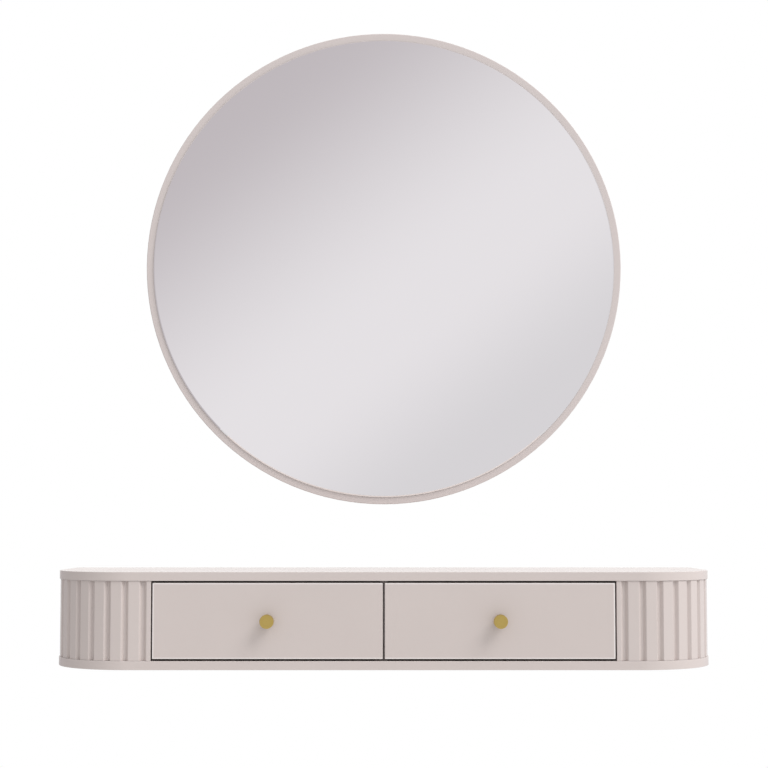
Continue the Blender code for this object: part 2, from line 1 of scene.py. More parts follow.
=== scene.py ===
# %% [markdown]
# Dressing a wall-hung dressing table
#
# The construction of this dressing table is finished: a shallow console with a D-shaped plan,
# fluted ends and two drawers on telescopic runners, and a round mirror that hangs above it. This
# lesson gives those parts their looks. We load the construction first and keep its box, because
# looks never change a size.

import json
import math

import bmesh
import bpy
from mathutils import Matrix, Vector

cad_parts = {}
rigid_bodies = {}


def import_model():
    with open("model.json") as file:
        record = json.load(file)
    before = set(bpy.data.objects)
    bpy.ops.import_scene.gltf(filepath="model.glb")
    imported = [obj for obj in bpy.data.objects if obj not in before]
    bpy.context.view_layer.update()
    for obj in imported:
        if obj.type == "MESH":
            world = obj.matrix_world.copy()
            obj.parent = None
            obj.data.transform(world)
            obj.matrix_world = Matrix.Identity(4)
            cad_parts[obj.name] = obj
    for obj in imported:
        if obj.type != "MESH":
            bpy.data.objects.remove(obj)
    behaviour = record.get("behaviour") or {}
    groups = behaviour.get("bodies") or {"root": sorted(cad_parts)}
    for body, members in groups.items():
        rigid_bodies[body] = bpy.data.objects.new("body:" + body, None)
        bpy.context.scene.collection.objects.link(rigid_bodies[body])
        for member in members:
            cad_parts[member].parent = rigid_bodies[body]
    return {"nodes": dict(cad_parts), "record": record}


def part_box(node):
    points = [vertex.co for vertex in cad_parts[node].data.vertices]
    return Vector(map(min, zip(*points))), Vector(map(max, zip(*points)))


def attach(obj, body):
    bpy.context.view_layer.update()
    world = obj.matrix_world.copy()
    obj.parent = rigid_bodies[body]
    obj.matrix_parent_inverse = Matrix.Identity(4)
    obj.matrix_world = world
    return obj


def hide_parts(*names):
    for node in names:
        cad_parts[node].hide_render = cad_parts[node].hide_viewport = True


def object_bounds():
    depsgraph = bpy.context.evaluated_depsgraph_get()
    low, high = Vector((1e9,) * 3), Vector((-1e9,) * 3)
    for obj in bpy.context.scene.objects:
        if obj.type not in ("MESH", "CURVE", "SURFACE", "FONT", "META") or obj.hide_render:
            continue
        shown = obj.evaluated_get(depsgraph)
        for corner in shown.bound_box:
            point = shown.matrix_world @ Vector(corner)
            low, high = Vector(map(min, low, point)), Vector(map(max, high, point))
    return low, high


for leftover in list(bpy.data.objects):
    bpy.data.objects.remove(leftover, do_unlink=True)

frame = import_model()
cad_low, cad_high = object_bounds()
nodes = frame["nodes"]
scene = bpy.context.scene
bodies = frame["record"]["behaviour"]["bodies"]
carrier = {node: body for body, members in bodies.items() for node in members}

# %% [markdown]
# The camera
#
# The photograph looks straight at the middle of the console, from a little above its top. A
# product photographer would raise the lens with a shift so that upright edges stay upright. A
# large shift would push the console out of the frame when we walk round it later, so part of it
# is a slight upward tilt here, which nobody can see.

# %% Camera at the photograph's viewing angle
CAMERA_PLACE = (0.0004, -2.666, 0.1525)
CAMERA_TILT = math.radians(3.31)
CAMERA_LENS = 76.1
CAMERA_SHIFT = 0.06

lens = bpy.data.cameras.new("photo_camera")
lens.lens = CAMERA_LENS
lens.shift_y = CAMERA_SHIFT
camera = bpy.data.objects.new("photo_camera", lens)
camera.location = CAMERA_PLACE
camera.rotation_euler = (math.pi / 2 + CAMERA_TILT, 0.0, 0.0)
scene.collection.objects.link(camera)
scene.camera = camera
scene.view_settings.view_transform = "Standard"
print("camera stands", round(cad_low.y - CAMERA_PLACE[1], 2), "m in front of the console")

# %% [markdown]
# Working with shader nodes
#
# Every finish below is a small tree of nodes. Placing a node takes three steps: make it, set its
# options and fill its sockets. Written out for every node that would be a long list, so one helper
# does all three. A socket gets either a plain value or the output of another node. The other
# helpers place kinds of node that return often.

# %% Helpers for shader nodes
def place(tree, kind, sockets=None, **options):
    """Adds a node, sets its options, and sets or links its input sockets."""
    node = tree.nodes.new(kind)
    for option, value in options.items():
        setattr(node, option, value)
    for socket, value in (sockets or {}).items():
        if isinstance(value, bpy.types.NodeSocket):
            tree.links.new(value, node.inputs[socket])
        else:
            node.inputs[socket].default_value = value
    return node


def math_node(tree, operation, *values):
    """The result of a sum on one, two or three values."""
    sockets = dict(enumerate(values))
    return place(tree, "ShaderNodeMath", sockets, operation=operation).outputs[0]


def stretch(tree, value, low, high, new_low=0.0, new_high=1.0):
    """Maps a value from one range to another and stops at its ends."""
    old_range = {"From Min": low, "From Max": high}
    new_range = {"To Min": new_low, "To Max": new_high}
    node = place(tree, "ShaderNodeMapRange", {"Value": value, **old_range, **new_range})
    return node.outputs["Result"]


def mix_colours(tree, share, first, second):
    """The first colour, giving way to the second as the share grows."""
    sockets = {0: share, 6: first, 7: second}
    return place(tree, "ShaderNodeMix", sockets, data_type="RGBA").outputs[2]


print("node helpers are ready")

# %% [markdown]
# A sweep of light
#
# The room is a plain white studio. A mirror shows what stands in front of it, and there a soft
# sweep of light crosses the room: dim and even at the upper left, bright along a diagonal and a
# middle grey at the lower right. Large cards could be placed for it, but a colour ramp along one
# direction of the room gives the same picture and needs no objects. The sweep depends only on the
# direction in the room, so it stays put when we walk round the object.

# %% World: the sweep of light
SWEEP_START = 0.993
SWEEP_ACROSS = 2.105
SWEEP_UP = -2.612
SWEEP_LEAST = 0.165
SWEEP_SOFTNESS = 0.12
SWEEP_DIM = (0.493, 0.451, 0.474, 1.0)
SWEEP_BRIGHT = (0.816, 0.791, 0.813, 1.0)
SWEEP_GREY = (0.701, 0.683, 0.704, 1.0)
SWEEP_STOPS = {0.0: SWEEP_DIM, 0.655: SWEEP_BRIGHT, 0.716: SWEEP_BRIGHT, 1.0: SWEEP_GREY}

world = bpy.data.worlds.new("white_studio")
world.use_nodes = True
scene.world = world
tree = world.node_tree
tree.nodes.clear()
direction = place(tree, "ShaderNodeTexCoord").outputs["Generated"]
parts = place(tree, "ShaderNodeSeparateXYZ", {0: direction}).outputs
depth = math_node(tree, "ABSOLUTE", parts["Y"])
across = math_node(tree, "DIVIDE", parts["X"], depth)
up = math_node(tree, "DIVIDE", parts["Z"], depth)
raised = math_node(tree, "MULTIPLY_ADD", up, SWEEP_UP, SWEEP_START)
along = math_node(tree, "MULTIPLY_ADD", across, SWEEP_ACROSS, raised)
eased = math_node(tree, "SMOOTH_MAX", along, SWEEP_LEAST, SWEEP_SOFTNESS)
sweep = place(tree, "ShaderNodeValToRGB", {0: eased})
ramp = sweep.color_ramp
ramp.interpolation = "EASE"
for position in list(SWEEP_STOPS)[1:-1]:
    ramp.elements.new(position)
for element, (position, colour) in zip(ramp.elements, SWEEP_STOPS.items()):
    element.position = position
    element.color = colour
print("the sweep has", len(ramp.elements), "stops")

# %% [markdown]
# What each ray sees
#
# The eye sees pure white behind the object, and so does a glossy face that looks straight that
# way. Glossy faces that look forward see the sweep. Matt faces need no picture of the room, so
# their light is plain white and grows evenly from left to right, because the right end of the
# console is the brighter one. The Light Path node tells the kinds of ray apart.

# %% World: white behind, even light all round
WHITE = (1.0, 1.0, 1.0, 1.0)
AMBIENT_LEFT = 0.53
AMBIENT_RIGHT = 1.07
BACKDROP_FROM = 0.85
BACKDROP_FULL = 0.97

ray = place(tree, "ShaderNodeLightPath").outputs
behind = stretch(tree, parts["Y"], BACKDROP_FROM, BACKDROP_FULL)
is_backdrop = math_node(tree, "MAXIMUM", behind, ray["Is Camera Ray"])
shown_colour = mix_colours(tree, is_backdrop, sweep.outputs["Color"], WHITE)
shown = place(tree, "ShaderNodeBackground", {"Color": shown_colour, "Strength": 1.0})
level = stretch(tree, parts["X"], -1.0, 1.0, AMBIENT_LEFT, AMBIENT_RIGHT)
even = place(tree, "ShaderNodeBackground", {"Color": WHITE, "Strength": level})
mirrored = math_node(tree, "MAXIMUM", ray["Is Glossy Ray"], ray["Is Transmission Ray"])
is_shown = math_node(tree, "MAXIMUM", ray["Is Camera Ray"], mirrored)
both = place(tree, "ShaderNodeMixShader", {0: is_shown, 1: even.outputs[0], 2: shown.outputs[0]})
place(tree, "ShaderNodeOutputWorld", {"Surface": both.outputs[0]})
print("the world has", len(tree.nodes), "nodes")

# %% [markdown]
# The lamps
#
# The knobs' shadows run to the lower left, so the main lamp stands to the upper right, in front.
# The top is the palest face of the console, so a second softbox hangs overhead. Lamps close by
# would fade from one end of the console to the other, so both are far away and large. A lamp's
# level is the share of a surface's own colour that it adds where it shines straight on, and its
# power follows from the level and the distance. The lamps are hidden from reflections, where the
# mirror would show them as hard white squares: what glossy surfaces reflect is the sweep alone.

# %% Lamps
KEY_DIRECTION = (0.58, -0.42, 0.78)
KEY_LEVEL = 0.52
OVERHEAD_DIRECTION = (0.05, 0.02, 1.00)
OVERHEAD_LEVEL = 0.215
LAMP_DISTANCE = 40.0
LAMP_SIZE = 20.0

middle = (cad_low + cad_high) / 2


def softbox(name, direction, level):
    """A square lamp that lights the object with a level from a direction."""
    offset = Vector(direction).normalized() * LAMP_DISTANCE
    lamp = bpy.data.lights.new(name, "AREA")
    lamp.size = LAMP_SIZE
    lamp.energy = level * math.pi ** 2 * offset.length_squared
    lamp_object = bpy.data.objects.new(name, lamp)
    lamp_object.location = middle + offset
    lamp_object.rotation_euler = offset.to_track_quat("Z", "Y").to_euler()
    lamp_object.visible_glossy = False
    scene.collection.objects.link(lamp_object)
    print(name, round(lamp.energy), "W")


softbox("key_softbox", KEY_DIRECTION, KEY_LEVEL)
softbox("overhead_softbox", OVERHEAD_DIRECTION, OVERHEAD_LEVEL)

# %% [markdown]
# The floor
#
# The console hangs at the height of a desk, so the floor lies well below it. It only has to catch
# a soft shadow and throw some light back up. A square would show its corners, so it is a round
# sheet. Its mesh is drawn as a bmesh, which a helper turns into an object, here and for the pieces.

# %% Floor
DESK_HEIGHT_ABOVE_FLOOR = 0.75
FLOOR_RADIUS = 1.6
FLOOR_STEPS = 96


def scene_object(name, shape):
    """Turns a bmesh into an object in the scene."""
    mesh = bpy.data.meshes.new(name)
    shape.to_mesh(mesh)
    shape.free()
    made_object = bpy.data.objects.new(name, mesh)
    scene.collection.objects.link(made_object)
    return made_object


floor_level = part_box("top_board")[1].z - DESK_HEIGHT_ABOVE_FLOOR
shape = bmesh.new()
bmesh.ops.create_circle(shape, cap_ends=True, segments=FLOOR_STEPS, radius=FLOOR_RADIUS)
floor = scene_object("studio_floor", shape)
floor.location = (0.0, 0.0, floor_level)
print("floor lies at", round(floor_level, 3), "m")

# %% [markdown]
# The floor's finish
#
# A finish is a material with the Principled shader. The floor's is pale and matt. Its rim would
# show as a hard line, so the sheet fades into the white room with the distance from its middle.
# Its underside is clear, so that we can also look at the console from below.

# %% Finish: pale floor
FLOOR_FADE_START = 0.9
FLOOR_COLOUR = (0.62, 0.61, 0.60, 1.0)
FLOOR_ROUGHNESS = 0.9


def new_finish(name):
    """A material with its Principled shader, and the coordinates for its patterns."""
    finish = bpy.data.materials.new(name)
    finish.use_nodes = True
    tree = finish.node_tree
    coordinates = tree.nodes.new("ShaderNodeTexCoord").outputs
    return finish, tree, tree.nodes["Principled BSDF"], coordinates


def vector_math(tree, operation, sockets):
    """The outputs of a sum on vectors."""
    return place(tree, "ShaderNodeVectorMath", sockets, operation=operation).outputs


floor_finish, tree, shader, coordinates = new_finish("studio_floor")
shader.inputs["Roughness"].default_value = FLOOR_ROUGHNESS
shader.inputs["Base Color"].default_value = FLOOR_COLOUR
reach = vector_math(tree, "LENGTH", {0: coordinates["Object"]})["Value"]
fade = stretch(tree, reach, FLOOR_FADE_START, FLOOR_RADIUS, 1.0, 0.0)
is_underside = place(tree, "ShaderNodeNewGeometry").outputs["Backfacing"]
is_upper = math_node(tree, "SUBTRACT", 1.0, is_underside)
tree.links.new(math_node(tree, "MULTIPLY", fade, is_upper), shader.inputs["Alpha"])
floor.data.materials.append(floor_finish)
print("made", floor_finish.name)

# %% [markdown]
# Patterns and groups
#
# No real surface is even, and noise is what varies it here. An effect that several finishes share,
# such as grain, could be copied into each, but a node group is built once and then placed in each
# finish with its own values. Most groups put out a colour, a roughness and a height.

# %% Helpers for patterns and groups
NOISE_LOW = 0.3
NOISE_HIGH = 0.7
SURFACE = {"Colour": "Color", "Roughness": "Float", "Height": "Float"}


def noise(tree, vector, scale, detail=2.0, distortion=0.0):
    """Soft cloudy noise, its scale counted per metre."""
    sockets = {"Vector": vector, "Scale": scale, "Detail": detail, "Distortion": distortion}
    return place(tree, "ShaderNodeTexNoise", sockets).outputs[0]


def spread(tree, pattern, new_low, new_high):
    """Noise, which mostly keeps to the middle of its range, stretched over a new range."""
    return stretch(tree, pattern, NOISE_LOW, NOISE_HIGH, new_low, new_high)


def new_group(name, inputs, outputs):
    """An empty node group with its named sockets."""
    group = bpy.data.node_groups.new(name, "ShaderNodeTree")
    for direction, sockets in (("INPUT", inputs), ("OUTPUT", outputs)):
        for label, kind in sockets.items():
            socket_type = "NodeSocket" + kind
            group.interface.new_socket(name=label, in_out=direction, socket_type=socket_type)
    given = group.nodes.new("NodeGroupInput").outputs
    made = group.nodes.new("NodeGroupOutput").inputs
    return group, given, made


def put_out(group, made, colour, roughness, height):
    """Links a group's results to its outputs."""
    for label, result in zip(SURFACE, (colour, roughness, height)):
        group.links.new(result, made[label])


print("group helpers are ready")

# %% [markdown]
# Paint film
#
# All the painted parts share one satin lacquer on fibreboard. Sprayed lacquer is never even:
# its tone drifts by a percent or two over a hand's width, its gloss varies a little, and its skin
# has a fine ripple, called orange peel, with waves about two millimetres wide. A painted picture
# would need an unwrapped mesh, while noise in the part's own coordinates has neither seams nor a
# limit to its detail. A node group holds these three effects for every painted finish.

# %% Node group: sprayed lacquer
TONE_PER_METRE = 6.0
GLOSS_PER_METRE = 30.0
LACQUER_SMOOTH = 0.22
LACQUER_ROUGH = 0.27

film_inputs = {"Vector": "Vector", "Colour": "Color", "Drift": "Float", "Ripple": "Float"}
paint_film, given, made = new_group("paint_film", film_inputs, SURFACE)
tone = noise(paint_film, given["Vector"], TONE_PER_METRE, detail=3.0)
low_tone = math_node(paint_film, "SUBTRACT", 1.0, given["Drift"])
high_tone = math_node(paint_film, "ADD", 1.0, given["Drift"])
factor = spread(paint_film, tone, low_tone, high_tone)
colour = vector_math(paint_film, "SCALE", {0: given["Colour"], "Scale": factor})["Vector"]
gloss = noise(paint_film, given["Vector"], GLOSS_PER_METRE)
roughness = spread(paint_film, gloss, LACQUER_SMOOTH, LACQUER_ROUGH)
ripple = noise(paint_film, given["Vector"], given["Ripple"])
put_out(paint_film, made, colour, roughness, ripple)
print("made the group", paint_film.name)

# %% [markdown]
# Pale arrises: wear and a painted highlight
#
# An arris is painted slightly paler than the face beside it: partly as wear, since paint draws
# back from a sharp edge and hands rub there, and partly as a painted highlight, the light that a
# rounded edge catches. Such edges could be painted by hand, but the Bevel node finds them by
# itself: it gives the normal that a rounded edge would have, and where that differs from the true
# normal there is an edge within its radius.

# %% Node group: arris mask
BEVEL_SAMPLES = 6
LIKENESS_OF_FACE = 0.995
LIKENESS_OF_EDGE = 0.90

arris, given, made = new_group("arris", {"Radius": "Float"}, {"Edge": "Float"})
radius = {"Radius": given["Radius"]}
rounded = place(arris, "ShaderNodeBevel", radius, samples=BEVEL_SAMPLES).outputs[0]
true_normal = place(arris, "ShaderNodeNewGeometry").outputs["Normal"]
likeness = vector_math(arris, "DOT_PRODUCT", {0: rounded, 1: true_normal})["Value"]
edge = stretch(arris, likeness, LIKENESS_OF_FACE, LIKENESS_OF_EDGE)
arris.links.new(edge, made["Edge"])
print("made the group", arris.name)

# %% [markdown]
# Bare fibreboard
#
# A factory leaves the hidden back of a painted board bare. Fibreboard is a brown felt of wood
# fibres: short pale flecks on a darker ground, without any direction. Fine distorted noise gives
# the flecks, and a broad cloud under it keeps large backs from looking even.

# %% Node group: bare fibreboard
FIBRE_DARK = (0.34, 0.22, 0.125, 1.0)
FIBRE_PALE = (0.52, 0.38, 0.235, 1.0)
FLECKS_PER_METRE = 420.0
CLOUDS_PER_METRE = 14.0
CLOUD_SHARE = 0.4
FIBRE_DARK_BELOW = 0.55
FIBRE_PALE_ABOVE = 0.90
FIBRE_SMOOTH = 0.70
FIBRE_ROUGH = 0.88

fibreboard, given, made = new_group("fibreboard", {"Vector": "Vector"}, SURFACE)
fleck = noise(fibreboard, given["Vector"], FLECKS_PER_METRE, detail=5.0, distortion=1.5)
cloud = noise(fibreboard, given["Vector"], CLOUDS_PER_METRE, detail=3.0)
both = math_node(fibreboard, "MULTIPLY_ADD", cloud, CLOUD_SHARE, fleck)
share = stretch(fibreboard, both, FIBRE_DARK_BELOW, FIBRE_PALE_ABOVE)
colour = mix_colours(fibreboard, share, FIBRE_DARK, FIBRE_PALE)
roughness = spread(fibreboard, fleck, FIBRE_SMOOTH, FIBRE_ROUGH)
put_out(fibreboard, made, colour, roughness, fleck)
print("made the group", fibreboard.name)

# %% [markdown]
# Painted edge highlights
#
# The sharp edges of the case are a little paler by the arris mask, as slight wear and a painted
# highlight. The drawer fronts carry a clear pale line along their outer, upper and lower edges,
# which is a painted highlight. That line is measured from the outline of the face instead of with
# the mask, because this is exact and free of grain.

# %% Masks for painted edge highlights
ARRIS_RADIUS = 0.0015
ARRIS_SHARE = 0.35
FRONT_HIGHLIGHT_FULL = 0.0017
FRONT_HIGHLIGHT_END = 0.0025
FRONT_FACING = 0.5


def use_group(tree, group, sockets):
    """Places a node group in a material with that material's own values."""
    return place(tree, "ShaderNodeGroup", sockets, node_tree=group).outputs


def axis_part(tree, vector, axis):
    """The X, Y or Z of a vector."""
    return place(tree, "ShaderNodeSeparateXYZ", {0: vector}).outputs[axis]


# Painted highlight and slight wear: the sharp edges of the case are turned a little paler.
def rubbed_arris(tree, coordinates):
    """Where any sharp edge is a little paler: slight wear and a painted highlight."""
    edge = use_group(tree, arris, {"Radius": ARRIS_RADIUS})["Edge"]
    return math_node(tree, "MULTIPLY", edge, ARRIS_SHARE)


# Painted highlight: a pale line along the rims of the drawer fronts.
def front_line(tree, coordinates):
    """A painted highlight just inside the outer, upper and lower edge of either drawer front."""
    low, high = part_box("right_drawer_front")
    spot = place(tree, "ShaderNodeSeparateXYZ", {0: coordinates["Object"]}).outputs
    from_outer = math_node(tree, "SUBTRACT", high.x, math_node(tree, "ABSOLUTE", spot["X"]))
    above_middle = math_node(tree, "SUBTRACT", spot["Z"], (low.z + high.z) / 2)
    off_middle = math_node(tree, "ABSOLUTE", above_middle)
    from_level = math_node(tree, "SUBTRACT", (high.z - low.z) / 2, off_middle)
    nearest = math_node(tree, "MINIMUM", from_outer, from_level)
    line = stretch(tree, nearest, FRONT_HIGHLIGHT_FULL, FRONT_HIGHLIGHT_END, 1.0, 0.0)
    facing = axis_part(tree, coordinates["Normal"], "Y")
    return math_node(tree, "MULTIPLY", line, math_node(tree, "LESS_THAN", facing, -FRONT_FACING))


print("the masks are ready")

# %% [markdown]
# Lacquer finishes
#
# The warm grey of the photograph is a plain base colour, written as it shows on the drawer fronts.
# One function makes all the finishes that use it: for parts painted all round, for the drawer
# fronts, and for boards whose back is bare, where the face that looks at the wall shows
# fibreboard. The mirror's board is given a shade paler and greyer colour. The ripple goes through
# a Bump node, which tilts the shading without adding any mesh.

# %% Finishes: warm grey lacquer
LACQUER = (0.617, 0.546, 0.521, 1.0)
# The paler lacquer below is the colour of the painted edge highlights.
LACQUER_HIGHLIGHT_PALE = (0.80, 0.745, 0.725, 1.0)
MIRROR_LACQUER = (0.640, 0.573, 0.557, 1.0)
LACQUER_DRIFT = 0.012
PEEL_PER_METRE = 430.0
PEEL_DEPTH = 0.000012
BACK_STARTS = 0.6


def cover(tree, shader, colour, roughness, height, depth):
    """Feeds a shader its colour, its roughness and a relief of a depth in metres."""
    bump = place(tree, "ShaderNodeBump", {"Height": height, "Distance": depth})
    tree.links.new(colour, shader.inputs["Base Color"])
    tree.links.new(roughness, shader.inputs["Roughness"])
    tree.links.new(bump.outputs["Normal"], shader.inputs["Normal"])


def lacquer_finish(name, paint=LACQUER, painted_highlight_where=None, bare_back=False):
    """Satin lacquer with painted highlights where a function says, bare towards the wall if asked.
    """
    finish, tree, shader, coordinates = new_finish(name)
    film_values = {"Vector": coordinates["Object"], "Colour": paint, "Drift": LACQUER_DRIFT}
    film = use_group(tree, paint_film, {**film_values, "Ripple": PEEL_PER_METRE})
    colour = film["Colour"]
    roughness = film["Roughness"]
    if painted_highlight_where:
        # Painted highlight: the lacquer turns paler where the mask says.
        colour = mix_colours(tree, painted_highlight_where(tree, coordinates), colour, LACQUER_HIGHLIGHT_PALE)
    if bare_back:
        bare = use_group(tree, fibreboard, {"Vector": coordinates["Object"]})
        facing = axis_part(tree, coordinates["Normal"], "Y")
        is_back = math_node(tree, "GREATER_THAN", facing, BACK_STARTS)
        colour = mix_colours(tree, is_back, colour, bare["Colour"])
        sockets = {0: is_back, 2: roughness, 3: bare["Roughness"]}
        roughness = place(tree, "ShaderNodeMix", sockets, data_type="FLOAT").outputs[0]
    cover(tree, shader, colour, roughness, film["Height"], PEEL_DEPTH)
    return finish


# The case lacquer gets painted highlights on its arrises, the fronts' lacquer a painted highlight
# line.
lacquer = lacquer_finish("warm_grey_lacquer", painted_highlight_where=rubbed_arris)
front_lacquer = lacquer_finish("warm_grey_lacquer_front", painted_highlight_where=front_line)
lacquer_bare_back = lacquer_finish("warm_grey_lacquer_bare_back", bare_back=True)
mirror_lacquer = lacquer_finish("mirror_board_lacquer", MIRROR_LACQUER, bare_back=True)
print("made", lacquer.name, front_lacquer.name, lacquer_bare_back.name, mirror_lacquer.name)

# %% [markdown]
# Wood
#
# The drawer boxes are birch plywood and the hanging cleats are pine. A wave texture would give
# rings that are too even, so the grain is noise that is drawn out along the trunk: broad bands for
# the growth rings and fine dark dashes for the pores. The group expects the grain to run along X,
# and each finish turns its coordinates to suit its part.

# %% Node group: wood grain
RING_STRETCH = (0.07, 1.0, 1.0)
RING_DARK_FROM = 0.35
RING_DARK_FULL = 0.70
RING_SHARE = 0.7
PORE_STRETCH = (0.03, 1.0, 1.0)
PORE_DARK_FROM = 0.56
PORE_DARK_FULL = 0.72
PORE_SHARE = 0.5
WOOD_SMOOTH = 0.50
WOOD_ROUGH = 0.66

two_tones = {"Vector": "Vector", "Pale": "Color", "Dark": "Color"}
grain_inputs = {**two_tones, "Bands": "Float", "Pores": "Float"}
wood_grain, given, made = new_group("wood_grain", grain_inputs, SURFACE)
along_rings = vector_math(wood_grain, "MULTIPLY", {0: given["Vector"], 1: RING_STRETCH})["Vector"]
along_pores = vector_math(wood_grain, "MULTIPLY", {0: given["Vector"], 1: PORE_STRETCH})["Vector"]
band = noise(wood_grain, along_rings, given["Bands"], detail=3.0, distortion=0.8)
pore = noise(wood_grain, along_pores, given["Pores"])
ring_share = stretch(wood_grain, band, RING_DARK_FROM, RING_DARK_FULL, 0.0, RING_SHARE)
pore_share = stretch(wood_grain, pore, PORE_DARK_FROM, PORE_DARK_FULL, 0.0, PORE_SHARE)
ringed = mix_colours(wood_grain, ring_share, given["Pale"], given["Dark"])
colour = mix_colours(wood_grain, pore_share, ringed, given["Dark"])
roughness = spread(wood_grain, pore, WOOD_SMOOTH, WOOD_ROUGH)
put_out(wood_grain, made, colour, roughness, pore)
print("made the group", wood_grain.name)

# %% [markdown]
# Plywood and pine finishes
#
# Plywood shows two faces: a veneer with long grain, and edges where the plies stack up as light
# and dark stripes. Each ply could be a layer of mesh, but stripes in the finish cost nothing. They
# follow the part's own thickness, which Generated coordinates measure from 0 to 1. Each panel of a
# drawer lies another way, so the finish takes the axis of its thickness and the axis of its grain.

# %% Finishes: birch plywood and pine
BIRCH_PALE = (0.70, 0.56, 0.39, 1.0)
BIRCH_DARK = (0.56, 0.41, 0.255, 1.0)
PLY_GLUE = (0.40, 0.27, 0.155, 1.0)
PINE_PALE = (0.68, 0.50, 0.29, 1.0)
PINE_DARK = (0.50, 0.30, 0.13, 1.0)
PLY_COUNT = 5
CROSS_PLY_STARTS = 0.5
CROSS_PLY_SHARE = 0.55
VENEER_FACING = 0.7
GRAIN_DEPTH = 0.00005
GRAIN_ALONG = {"X": (0.0, 0.0, 0.0), "Y": (0.0, 0.0, math.pi / 2)}


def wood_finish(name, grain_axis, pale, dark, bands, pores, thickness_axis=None):
    """Wood with its grain along one axis, and plies on its edges if it has a thickness axis."""
    finish, tree, shader, coordinates = new_finish(name)
    rotated = {"Vector": coordinates["Object"], "Rotation": GRAIN_ALONG[grain_axis]}
    vector = place(tree, "ShaderNodeMapping", rotated).outputs[0]
    values = {"Vector": vector, "Pale": pale, "Dark": dark, "Bands": bands, "Pores": pores}
    grain = use_group(tree, wood_grain, values)
    colour = grain["Colour"]
    if thickness_axis:
        level = axis_part(tree, coordinates["Generated"], thickness_axis)
        stack = math_node(tree, "FRACT", math_node(tree, "MULTIPLY", level, PLY_COUNT / 2))
        is_cross = math_node(tree, "GREATER_THAN", stack, CROSS_PLY_STARTS)
        cross_share = math_node(tree, "MULTIPLY", is_cross, CROSS_PLY_SHARE)
        striped = mix_colours(tree, cross_share, colour, PLY_GLUE)
        facing = math_node(tree, "ABSOLUTE", axis_part(tree, coordinates["Normal"], thickness_axis))
        is_edge = math_node(tree, "LESS_THAN", facing, VENEER_FACING)
        colour = mix_colours(tree, is_edge, colour, striped)
    cover(tree, shader, colour, grain["Roughness"], grain["Height"], GRAIN_DEPTH)
    return finish


birch = {"pale": BIRCH_PALE, "dark": BIRCH_DARK, "bands": 26.0, "pores": 650.0}
side_ply = wood_finish("birch_ply_side", "Y", thickness_axis="X", **birch)
back_ply = wood_finish("birch_ply_back", "X", thickness_axis="Y", **birch)
bottom_ply = wood_finish("birch_ply_bottom", "X", thickness_axis="Z", **birch)
pine = wood_finish("planed_pine", "X", PINE_PALE, PINE_DARK, bands=90.0, pores=500.0)
print("made", side_ply.name, back_ply.name, bottom_ply.name, pine.name)

# %% [markdown]
# Worked metal
#
# Metal looks like metal when its surface shows how it was worked. Rolled and plated steel has fine
# streaks along the strip, and a turned knob has rings from the lathe. Both are noise that is much
# finer in one direction, so one group makes them: the finish decides what "along" means by the
# coordinates that it hands over. Anisotropic gloss could stand for the lines, but noise also gives
# them their uneven colour.

# %% Node group: worked metal
PATCHES_PER_METRE = 60.0
PATCH_SHARE = 0.5
METAL_DARK_BELOW = 0.55
METAL_PALE_ABOVE = 0.95

metal_inputs = {**two_tones, "Lines": "Float", "Smooth": "Float", "Rough": "Float"}
worked_metal, given, made = new_group("worked_metal", metal_inputs, SURFACE)
line = noise(worked_metal, given["Vector"], given["Lines"], detail=3.0)
patch = noise(worked_metal, given["Vector"], PATCHES_PER_METRE)
shade = math_node(worked_metal, "MULTIPLY_ADD", patch, PATCH_SHARE, line)
tint = stretch(worked_metal, shade, METAL_DARK_BELOW, METAL_PALE_ABOVE)
colour = mix_colours(worked_metal, tint, given["Dark"], given["Pale"])
roughness = spread(worked_metal, line, given["Smooth"], given["Rough"])
put_out(worked_metal, made, colour, roughness, line)
print("made the group", worked_metal.name)

# %% [markdown]
# Steel and brass finishes
#
# Zinc plating is a cool pale grey with streaks along the runner. The knobs are satin brass, turned
# on a lathe: their rings follow the distance from the axis, which is the length of X and Y in the
# knob's own coordinates. The screws are zinc-plated too, but turned, so they get rings as well.

# %% Finishes: zinc-plated steel and satin brass
ZINC_PALE = (0.74, 0.75, 0.77, 1.0)
ZINC_DARK = (0.65, 0.66, 0.68, 1.0)
BRASS_PALE = (0.66, 0.505, 0.165, 1.0)
BRASS_DARK = (0.575, 0.425, 0.123, 1.0)
METAL_ROUGH = 0.42
LINE_DEPTH = 0.000004
STREAK_STRETCH = (1.0, 0.02, 1.0)


def metal_finish(name, vector_of, values):
    """A metal whose lines follow the coordinates that vector_of makes."""
    finish, tree, shader, coordinates = new_finish(name)
    shader.inputs["Metallic"].default_value = 1.0
    vector = vector_of(tree, coordinates["Object"])
    metal = use_group(tree, worked_metal, {"Vector": vector, "Rough": METAL_ROUGH, **values})
    cover(tree, shader, metal["Colour"], metal["Roughness"], metal["Height"], LINE_DEPTH)
    return finish


def along_strip(tree, vector):
    """Coordinates squeezed along the runner, so that noise becomes streaks."""
    return vector_math(tree, "MULTIPLY", {0: vector, 1: STREAK_STRETCH})["Vector"]


def round_axis(tree, vector):
    """Distance from the lathe's axis, and the height along it."""
    parts = place(tree, "ShaderNodeSeparateXYZ", {0: vector}).outputs
    flat = place(tree, "ShaderNodeCombineXYZ", {"X": parts["X"], "Y": parts["Y"]}).outputs[0]
    radius = vector_math(tree, "LENGTH", {0: flat})["Value"]
    return place(tree, "ShaderNodeCombineXYZ", {"X": radius, "Y": parts["Z"]}).outputs[0]


